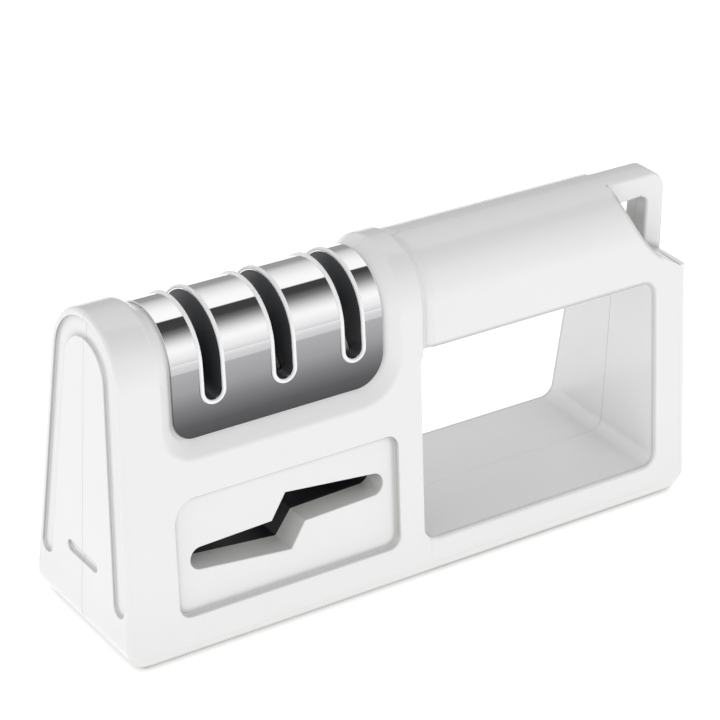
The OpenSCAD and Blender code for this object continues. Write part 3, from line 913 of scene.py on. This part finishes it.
@dataclass
class RimTool:
    """Tool that eases the rim of one half: round over the left end, a flat bevel along the base."""

    round_width: float = 1.3
    flat_width: float = 2.8
    last_width: float = 1.0
    flat_slant: float = 0.4
    arc_steps: int = 14
    profile_steps: int = 5
    profile_span: Span = (0.1, 0.9)
    lead: float = 0.9
    clear: float = 1.2
    past_crest_deg: float = 97.0
    leg_end: float = 1.0
    overrun: float = 1.5

    def path(self) -> list[RimPoint]:
        """List the stations of the front rim, from the crest to the lower right corner.

        Returns:
            The stations in order.
        """
        lean = side_lean(COLLAR_RADIUS)
        tilt = math.radians(END_LEAN)
        side = Vector((0.0, -math.cos(lean), math.sin(lean)))
        end = Vector((-math.cos(tilt), 0.0, math.sin(tilt)))
        made: list[RimPoint] = []
        past_crest = math.radians(self.past_crest_deg)
        for i in range(2 * self.arc_steps + 1):
            turn = past_crest + (lean - past_crest) * i / (2 * self.arc_steps)
            out = Vector((0.0, -math.cos(turn), math.sin(turn)))
            height = AXIS_HEIGHT + COLLAR_RADIUS * out.z
            spot = Vector((end_station(height), COLLAR_RADIUS * out.y, height))
            made.append(RimPoint(spot, out, end, self.round_width, roundness=1.0))
        low = FLOOR_GAP + LEFT_CORNER + self.leg_end
        spot = Vector((-HALF_LENGTH, -skin_reach(low, COLLAR_RADIUS), low))
        made.append(RimPoint(spot, side, end, self.round_width, roundness=1.0))
        made += self.corner(-HALF_LENGTH + LEFT_CORNER, LEFT_CORNER, 180.0, COLLAR_RADIUS)
        made += self.corner(HALF_LENGTH - RIGHT_CORNER, RIGHT_CORNER, 270.0, HANDLE_RADIUS)
        past_end = made[-1].spot + Vector((0.0, 0.0, self.overrun))
        return [*made, replace(made[-1], spot=past_end)]

    def corner(self, station: float, radius: float, start: float, top: float) -> list[RimPoint]:
        """List the stations round one lower corner.

        Args:
            station: Place of the corner's centre along X.
            radius: The corner's radius.
            start: Angle at which the quarter turn starts, in degrees.
            top: Radius of the round top there, which sets the side's lean.

        Returns:
            The stations in order.
        """
        lean = side_lean(top)
        side = Vector((0.0, -math.cos(lean), math.sin(lean)))
        centre = FLOOR_GAP + radius
        at_left = station < 0.0
        first = self.round_width if at_left else self.flat_width
        last = self.flat_width if at_left else self.last_width
        made = []
        for i in range(self.arc_steps + 1):
            share = i / self.arc_steps
            turn = math.radians(start + 90.0 * share)
            out = Vector((math.cos(turn), 0.0, math.sin(turn)))
            height = centre + radius * out.z
            spot = Vector((station + radius * out.x, -skin_reach(height, top), height))
            width = first + (last - first) * share
            made.append(RimPoint(spot, side, out, width, 1.0 - share if at_left else 0.0))
        return made

    def section(self, point: RimPoint) -> list[Vector]:
        """Cross-section of the tool at one station.

        Args:
            point: The station.

        Returns:
            The corners of the cross-section, in millimetres.
        """
        along_side = -(point.rim - point.side * point.rim.dot(point.side)).normalized()
        along_rim = -(point.side - point.rim * point.side.dot(point.rim)).normalized()
        flat = []
        low, high = self.profile_span
        for i in range(self.profile_steps + 1):
            share = low + (high - low) * i / self.profile_steps
            turn = share * math.pi / 2
            round_spot = Vector((1.0 - math.sin(turn), 1.0 - math.cos(turn)))
            flat_spot = Vector((1.0 - share, share * self.flat_slant))
            flat.append(flat_spot.lerp(round_spot, point.roundness) * point.width)
        first = flat[0] + (flat[0] - flat[1]).normalized() * self.lead * point.width
        last = flat[-1] + (flat[-1] - flat[-2]).normalized() * self.lead * point.width
        flat = [first, *flat, last, Vector((-self.clear, -self.clear))]
        return [point.spot + along_side * a + along_rim * b for a, b in flat]

    def mesh(self, mirrored: bool) -> Mesh:
        """Build the tool.

        Args:
            mirrored: True for the rear half.

        Returns:
            The closed tool, in metres.
        """
        work = bmesh.new()
        rings = []
        for point in self.path():
            ring = [spot * MM for spot in self.section(point)]
            if mirrored:
                ring = [Vector((v.x, -v.y, v.z)) for v in ring]
            rings.append([work.verts.new(v) for v in ring])
        count = len(rings[0])
        for one, two in zip(rings, rings[1:]):
            for i in range(count):
                j = (i + 1) % count
                work.faces.new((one[i], one[j], two[j], two[i]))
        work.faces.new(rings[0])
        work.faces.new(rings[-1])
        bmesh.ops.recalc_face_normals(work, faces=work.faces)
        mesh = bpy.data.meshes.new("rim_tool")
        work.to_mesh(mesh)
        work.free()
        return mesh


@dataclass(frozen=True)
class Patch:
    """An upright rectangle across the body's side, in millimetres, which picks faces and edges."""

    low_x: float = -math.inf
    high_x: float = math.inf
    low_z: float = -math.inf
    high_z: float = math.inf

    def holds(self, point: Vector) -> bool:
        """Tell whether a point lies within the rectangle."""
        return self.low_x < point.x < self.high_x and self.low_z < point.z < self.high_z


@dataclass
class ShellPair:
    """The two half shells: white mouldings with the window, the handle, the loop and the panels."""

    finish: MouldedPlastic = WHITE_ABS
    edges: SoftEdges = field(default_factory=SoftEdges)
    rim: RimTool = field(default_factory=RimTool)
    tolerance: float = 0.05
    parting_gap: float = 0.02
    facing_parting: float = 0.99
    collar_lap: float = 0.5
    # How deep under the outer section a face still counts as skin.
    skin_depth: float = 1.95
    recess_depth: float = 2.9
    end_depth: float = 1.3
    # How deep the edges of the recess's floor and of the left end's groove lie.
    floor_depth: float = 2.4
    groove_depth: float = 1.6
    # Where the body's forms lie, which tells what an edge near them is.
    recess: Patch = Patch(-78.2, -4.0, low_z=52.0)
    base_bevel: Patch = Patch(high_z=4.5)
    left_corner: Patch = Patch(high_x=-78.0, high_z=11.0)
    right_corner: Patch = Patch(low_x=78.0, high_z=11.0)
    window: Patch = Patch(0.1, 78.3, 10.9, 64.9)
    window_rim: Patch = Patch(low_x=-0.9)
    window_left: Patch = Patch(1.8, 2.4, high_z=60.0)
    loop: Patch = Patch(low_x=70.0, low_z=60.0)
    loop_edges: Patch = Patch(low_x=69.5, low_z=66.0)
    loop_hole: Patch = Patch(low_x=74.0, low_z=73.0)
    loop_half: float = 4.4
    loop_reach: float = 4.6
    loop_step: Patch = Patch(70.1, 70.5)
    notch: Patch = Patch(high_x=86.5)
    shoulder: Span = (99.4, 95.5)
    shoulder_radius: float = 28.9

    def on_skin(self, face: BMFace) -> bool:
        """Tell whether a face is on the outside of the body.

        Args:
            face: A face of a shell's mesh.

        Returns:
            True on the outside, and in the shallow recesses of it.
        """
        p = face.calc_center_median() / MM
        if p.z < FLOOR_GAP + self.tolerance or p.x > HALF_LENGTH - self.tolerance:
            return True
        if p.x < end_station(p.z) + self.end_depth:
            return True
        if abs(abs(p.y) - self.loop_half) < self.tolerance and self.loop.holds(p):
            return True
        limit = self.recess_depth if self.recess.holds(p) else self.skin_depth
        radius = HANDLE_RADIUS if p.x > HANDLE_START + self.collar_lap else COLLAR_RADIUS
        return depth_under_skin(p, radius) < limit

    def kind_of(self, edge: BMEdge) -> EdgeKind:
        """Tell what one sharp edge is.

        Args:
            edge: An edge between two faces.

        Returns:
            The kind, which sets the width of the rounding.
        """
        a, b = (v.co / MM for v in edge.verts)
        if max(abs(a.y), abs(b.y)) < self.parting_gap:
            return self.parting_kind(edge)
        if not any(self.on_skin(face) for face in edge.link_faces):
            return EdgeKind.SHARP
        middle = (a + b) / 2
        corners = (self.base_bevel, self.left_corner, self.right_corner)
        if any(patch.holds(middle) for patch in corners):
            return EdgeKind.SHARP
        depth = depth_under_skin(middle, COLLAR_RADIUS)
        if middle.x < end_station(middle.z) + self.groove_depth:
            return EdgeKind.FINE if depth > self.groove_depth else EdgeKind.SHARP
        if self.loop_edges.holds(middle):
            return self.loop_kind(middle, max(abs(a.y), abs(b.y)))
        if self.recess.holds(middle):
            return EdgeKind.SHARP if depth > self.floor_depth else EdgeKind.RECESS
        if self.window_left.holds(middle):
            return EdgeKind.SHARP
        return EdgeKind.RIM if self.window_rim.holds(middle) else EdgeKind.FINE

    def parting_kind(self, edge: BMEdge) -> EdgeKind:
        """Tell what an edge in the parting plane is.

        Args:
            edge: The edge.

        Returns:
            The parting line where it shows, and otherwise a sharp edge.
        """
        other = [face for face in edge.link_faces if abs(face.normal.y) < self.facing_parting]
        if other and (self.on_skin(other[0]) or self.on_opening(other[0])):
            return EdgeKind.PARTING
        return EdgeKind.SHARP

    def loop_kind(self, middle: Vector, reach: float) -> EdgeKind:
        """Tell what an edge near the hanging loop is.

        Args:
            middle: The edge's middle.
            reach: Its greatest distance from the middle plane.

        Returns:
            The loop's own soft edge, a fine one round the notch, or a sharp one.
        """
        centre_x, centre_z = self.shoulder
        if reach < self.loop_reach:
            near = math.hypot(middle.x - centre_x, middle.z - centre_z) < self.shoulder_radius
            return EdgeKind.LOOP if near else EdgeKind.SHARP
        fine = self.notch.holds(middle) and not self.loop_step.holds(middle)
        return EdgeKind.FINE if fine else EdgeKind.SHARP

    def on_opening(self, face: BMFace) -> bool:
        """Tell whether a face is a wall of the finger window or of the loop's hole.

        Args:
            face: A face of a shell's mesh.

        Returns:
            True for such a wall.
        """
        p = face.calc_center_median() / MM
        return self.window.holds(p) or self.loop_hole.holds(p)

    def width_of(self, edge: BMEdge) -> float:
        """Width of the rounding of one sharp edge, in millimetres."""
        return self.kind_of(edge).value

    def build(self) -> list[Object]:
        """Build both halves.

        Returns:
            The front and the rear moulding.
        """
        material = self.finish.build()
        made = []
        for node, name in (("front_shell", "front_moulding"), ("rear_shell", "rear_moulding")):
            work = self.edges.joined_copy(node)
            work = self.edges.carved(work, self.rim.mesh(node == "rear_shell"), name)
            mesh = self.edges.round_edges(work, self.width_of, name)
            made.append(new_piece(name, mesh, node, material))
        return made


@dataclass
class SlottedCover:
    """The bent cover with its three slots and the lips around them, white as a painted highlight.
    """

    finish: PolishedSheet = COVER_STEEL
    lip_highlight_finish: MouldedPlastic = LIP_PAINTED_HIGHLIGHT
    sheet_radius: float = 14.8
    first_slot: float = -61.2
    slot_pitch: float = 20.9
    slot_count: int = 3
    slot_half: float = 2.7
    slot_height: float = 70.3
    lip_radius: float = 0.56
    lip_offset: float = 0.45
    lip_steps: int = 14
    turn_steps: int = 16
    sheet_low: float = 58.0
    edge_width: float = 0.15
    edges: SoftEdges = field(default_factory=lambda: SoftEdges(widest_mm=0.2, steps=2))

    def width_of(self, edge: BMEdge) -> float:
        """Width of the rounding of the sheet's edges, in millimetres.

        Args:
            edge: An edge between two faces.

        Returns:
            The width, or 0 on the tabs below the sheet.
        """
        p = (edge.verts[0].co + edge.verts[1].co) / 2 / MM
        return self.edge_width if p.z > self.sheet_low else 0.0

    def lip_line(self) -> Mesh:
        """Draw the edge of one slot: over the arch, round its end and back.

        Returns:
            A mesh of one closed line, in metres.
        """
        lean = side_lean(self.sheet_radius)
        half = self.slot_half + self.lip_offset
        spots: list[Vector] = []
        for sign in (-1.0, 1.0):
            for i in range(2 * self.turn_steps + 1):
                turn = sign * (math.pi / 2 - lean) * (i / self.turn_steps - 1.0)
                y, z = self.sheet_radius * math.sin(turn), self.sheet_radius * math.cos(turn)
                spots.append(Vector((-sign * half, y, AXIS_HEIGHT + z)))
            for i in range(self.turn_steps + 1):
                turn = math.pi * i / self.turn_steps
                z = self.slot_height - half * math.sin(turn)
                y = sign * skin_reach(z, self.sheet_radius)
                spots.append(Vector((-sign * half * math.cos(turn), y, z)))
        mesh = bpy.data.meshes.new("slot_lip_line")
        links = [(i, (i + 1) % len(spots)) for i in range(len(spots))]
        mesh.from_pydata([spot * MM for spot in spots], links, [])
        return mesh

    def lips(self) -> Mesh:
        """Sweep a bead along the slot's edge and repeat it for each slot.

        Returns:
            The mesh of all lips.
        """
        recipe = Recipe(
            "slot_lips",
            {
                "Bead Radius": ("NodeSocketFloat", self.lip_radius * MM),
                "Slots": ("NodeSocketInt", self.slot_count),
                "First": ("NodeSocketVector", (self.first_slot * MM, 0.0, 0.0)),
                "Pitch": ("NodeSocketVector", (self.slot_pitch * MM, 0.0, 0.0)),
                "Material": ("NodeSocketMaterial", self.lip_highlight_finish.build()),
            },
        )
        tree, given = recipe.tree, recipe.given
        line = add_node(tree, "GeometryNodeMeshToCurve", {"Mesh": given["Geometry"]})
        round_bar = add_node(
            tree,
            "GeometryNodeCurvePrimitiveCircle",
            {"Resolution": self.lip_steps, "Radius": given["Bead Radius"]},
        )
        bead = add_node(
            tree,
            "GeometryNodeCurveToMesh",
            {"Curve": line.outputs["Curve"], "Profile Curve": round_bar.outputs["Curve"]},
        )
        places = add_node(
            tree,
            "GeometryNodeMeshLine",
            {
                "Count": given["Slots"],
                "Start Location": given["First"],
                "Offset": given["Pitch"],
            },
        )
        copies = add_node(
            tree,
            "GeometryNodeInstanceOnPoints",
            {"Points": places.outputs["Mesh"], "Instance": bead.outputs["Mesh"]},
        )
        return recipe.cooked(copies.outputs["Instances"], self.lip_line())

    def build(self) -> list[Object]:
        """Build the sheet and its lips.

        Returns:
            The sheet and the lips.
        """
        work = self.edges.joined_copy("chrome_cover")
        mesh = self.edges.round_edges(work, self.width_of, "cover_sheet")
        steel = self.finish.build()
        sheet = new_piece("cover_sheet", mesh, "chrome_cover", steel)
        return [sheet, new_piece("slot_lips", self.lips(), "chrome_cover")]


@dataclass
class CoilSpring:
    """The rocker's compression spring, wound with Geometry Nodes."""

    finish: WorkedMetal = SPRING_WIRE
    station: float = -29.6
    low: float = 14.55
    high: float = 25.05
    radius: float = 2.4
    wire: float = 0.6
    curls: int = 6
    steps: int = 28
    wire_steps: int = 12
    squeezed: float = 0.905

    def coil(self) -> Mesh:
        """Wind the wire.

        Returns:
            The mesh of the whole spring.
        """
        recipe = Recipe(
            "coil_spring",
            {
                "Curls": ("NodeSocketFloat", float(self.curls)),
                "Coil Radius": ("NodeSocketFloat", self.radius * MM),
                "Height": ("NodeSocketFloat", (self.high - self.low - self.wire) * MM),
                "Wire Radius": ("NodeSocketFloat", self.wire / 2 * MM),
                "Foot": (
                    "NodeSocketVector", (self.station * MM, 0.0, (self.low + self.wire / 2) * MM)
                ),
                "Material": ("NodeSocketMaterial", self.finish.build()),
            },
        )
        tree, given = recipe.tree, recipe.given
        path = add_node(
            tree,
            "GeometryNodeCurveSpiral",
            {
                "Resolution": self.steps,
                "Rotations": given["Curls"],
                "Start Radius": given["Coil Radius"],
                "End Radius": given["Coil Radius"],
                "Height": given["Height"],
            },
        )
        bar = add_node(
            tree,
            "GeometryNodeCurvePrimitiveCircle",
            {"Resolution": self.wire_steps, "Radius": given["Wire Radius"]},
        )
        tube = add_node(
            tree,
            "GeometryNodeCurveToMesh",
            {
                "Curve": path.outputs["Curve"],
                "Profile Curve": bar.outputs["Curve"],
                "Fill Caps": True,
            },
        )
        placed = add_node(
            tree,
            "GeometryNodeTransform",
            {"Geometry": tube.outputs["Mesh"], "Translation": given["Foot"]},
        )
        return recipe.cooked(placed.outputs["Geometry"], bpy.data.meshes.new("coil_start"))

    def build(self) -> Object:
        """Build the spring.

        Returns:
            The finished spring.
        """
        spring = new_piece("coil_spring", self.coil(), "rocker_spring")
        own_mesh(spring)
        return spring


@dataclass
class DressedNodes:
    """CAD nodes whose shape is right and which only get their material."""

    finishes: dict[str, Finish] = field(
        default_factory=lambda: {
            "slot_cartridge": GREY_ABS,
            "carbide_blade_front": CARBIDE,
            "carbide_blade_rear": CARBIDE,
            "carbide_holder": BLACK_ABS,
            "carbide_clamp_screw": PLATED_STEEL,
            "holder_screws": PLATED_STEEL,
            "medium_axle": PLATED_STEEL,
            "medium_hub": BLACK_ABS,
            "medium_wheel_left": DIAMOND,
            "medium_wheel_right": DIAMOND,
            "fine_axle": PLATED_STEEL,
            "fine_hub": BLACK_ABS,
            "fine_wheel_left": CERAMIC,
            "fine_wheel_right": CERAMIC,
            "axle_clips": PLATED_STEEL,
            "scissors_guide": BLACK_ABS,
            "scissors_rocker": BLACK_ABS,
            "scissors_rod": CERAMIC,
            "rocker_pin": PLATED_STEEL,
            "unit_screws": PLATED_STEEL,
            "housing_screws": PLATED_STEEL,
            "rubber_feet": FOOT_RUBBER,
        }
    )

    def build(self) -> None:
        """Give each node its material."""
        made: dict[str, Material] = {}
        for node, finish in self.finishes.items():
            if finish.name not in made:
                made[finish.name] = finish.build()
            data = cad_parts[node].data
            data.materials.clear()
            data.materials.append(made[finish.name])
            log.info("%s: %s", node, finish.name)


@dataclass
class Studio:
    """Pale floor, soft light and the camera at the photograph's angle."""

    azimuth: float = -35.094
    elevation: float = 28.181
    roll: float = 1.97
    distance: float = 745.9
    target: Triple = (-6.36, 0.0, 56.3)
    lens: float = 141.915
    sensor: float = 36.0
    clip: Span = (0.05, 20.0)
    floor_half: float = 3.0
    floor_colour: str = "#f7f7f7"
    floor_roughness: float = 0.9
    floor_gloss: float = 0.1
    floor_glow: float = 0.5
    sky_strength: float = 1.1
    # Light of the sky by the upward part of the direction: left, right front and right back.
    left_sky: GreyStops = ((0.0, 0.95), (0.5, 0.8), (1.0, 0.45))
    front_sky: GreyStops = (
        (0.0, 0.88),
        (0.34, 0.93),
        (0.45, 0.9),
        (0.55, 0.78),
        (0.63, 0.6),
        (0.71, 0.37),
        (0.77, 0.19),
        (0.84, 0.05),
        (1.0, 0.03),
    )
    back_sky: GreyStops = (
        (0.0, 0.3),
        (0.34, 0.32),
        (0.54, 0.61),
        (0.69, 0.77),
        (0.78, 0.87),
        (0.85, 0.93),
        (1.0, 0.95),
    )
    back_edge: Span = (-0.015, 0.015)
    right_edge: Span = (0.05, 0.35)
    key_place: Triple = (0.5, -1.6, 1.35)
    key_aim: Triple = (0.0, 0.0, 0.05)
    key_size: Span = (1.2, 1.2)
    key_watts: float = 2.0

    def camera(self) -> None:
        """Place the camera at the photograph's angle."""
        turn, rise, roll = (math.radians(v) for v in (self.azimuth, self.elevation, self.roll))
        level = math.cos(rise)
        back = Vector((math.sin(turn) * level, -math.cos(turn) * level, math.sin(rise)))
        right = Vector((math.cos(turn), math.sin(turn), 0.0))
        up = back.cross(right)
        turned_right = right * math.cos(roll) + up * math.sin(roll)
        turned_up = up * math.cos(roll) - right * math.sin(roll)
        matrix = Matrix((turned_right, turned_up, back)).transposed().to_4x4()
        matrix.translation = (Vector(self.target) + back * self.distance) * MM
        data = bpy.data.cameras.new("photo_camera")
        data.lens = self.lens
        data.sensor_width = self.sensor
        data.sensor_fit = "HORIZONTAL"
        data.clip_start, data.clip_end = self.clip
        camera = linked("photo_camera", data)
        camera.matrix_world = matrix
        bpy.context.scene.camera = camera

    def floor(self) -> None:
        """Lay the floor."""
        half = self.floor_half
        mesh = bpy.data.meshes.new("floor")
        mesh.from_pydata(
            [(-half, -half, 0), (half, -half, 0), (half, half, 0), (-half, half, 0)],
            [],
            [(0, 1, 2, 3)],
        )
        material = bpy.data.materials.new("pale_studio_floor")
        material.use_nodes = True
        shader = material.node_tree.nodes["Principled BSDF"]
        shader.inputs["Base Color"].default_value = linear(self.floor_colour)
        shader.inputs["Roughness"].default_value = self.floor_roughness
        shader.inputs["Specular IOR Level"].default_value = self.floor_gloss
        shader.inputs["Emission Color"].default_value = (1.0, 1.0, 1.0, 1.0)
        shader.inputs["Emission Strength"].default_value = self.floor_glow
        mesh.materials.append(material)
        linked("floor", mesh)

    def sky(self) -> None:
        """Light the scene from all round: even at the left, in bands by height at the right."""
        world = bpy.data.worlds.new("studio")
        bpy.context.scene.world = world
        world.use_nodes = True
        tree = world.node_tree
        tree.nodes.clear()
        way = add_node(tree, "ShaderNodeTexCoord").outputs["Generated"]
        split = add_node(tree, "ShaderNodeSeparateXYZ", {"Vector": way})
        left, front, back = (
            add_node(
                tree,
                "ShaderNodeValToRGB",
                {"Fac": split.outputs["Z"]},
                stops=tuple((z, (grey, grey, grey, 1.0)) for z, grey in greys),
            ).outputs["Color"]
            for greys in (self.left_sky, self.front_sky, self.back_sky)
        )
        whole = back
        for axis, (none, full), other in (
            ("Y", self.back_edge, front),
            ("X", self.right_edge, left),
        ):
            share = add_node(
                tree,
                "ShaderNodeMapRange",
                {"Value": split.outputs[axis], "From Min": none, "From Max": full},
            )
            whole = add_node(
                tree,
                "ShaderNodeMix",
                {"Factor": share.outputs["Result"], "A": other, "B": whole},
                data_type="RGBA",
            ).outputs[2]
        light = add_node(
            tree, "ShaderNodeBackground", {"Color": whole, "Strength": self.sky_strength}
        )
        add_node(tree, "ShaderNodeOutputWorld", {"Surface": light.outputs["Background"]})

    def key_panel(self) -> None:
        """Hang one soft light panel, which the polished cover doesn't mirror."""
        data = bpy.data.lights.new("key_panel", "AREA")
        data.shape = "RECTANGLE"
        data.size, data.size_y = self.key_size
        data.energy = self.key_watts
        light = linked("key_panel", data)
        light.visible_glossy = False
        light.location = self.key_place
        light.rotation_mode = "QUATERNION"
        way = Vector(self.key_aim) - Vector(self.key_place)
        light.rotation_quaternion = way.to_track_quat("-Z", "Y")

    def build(self) -> None:
        """Set up the whole studio."""
        self.camera()
        self.floor()
        self.sky()
        self.key_panel()
        bpy.context.scene.view_settings.view_transform = "Standard"
        log.info("studio: camera, floor and lights")


def main() -> None:
    """Build every sub-assembly in order."""
    logging.basicConfig(level=logging.INFO, format="%(name)s: %(message)s")
    Studio().build()
    ShellPair().build()
    SlottedCover().build()
    CoilSpring().build()
    DressedNodes().build()


if __name__ == "__main__":
    main()
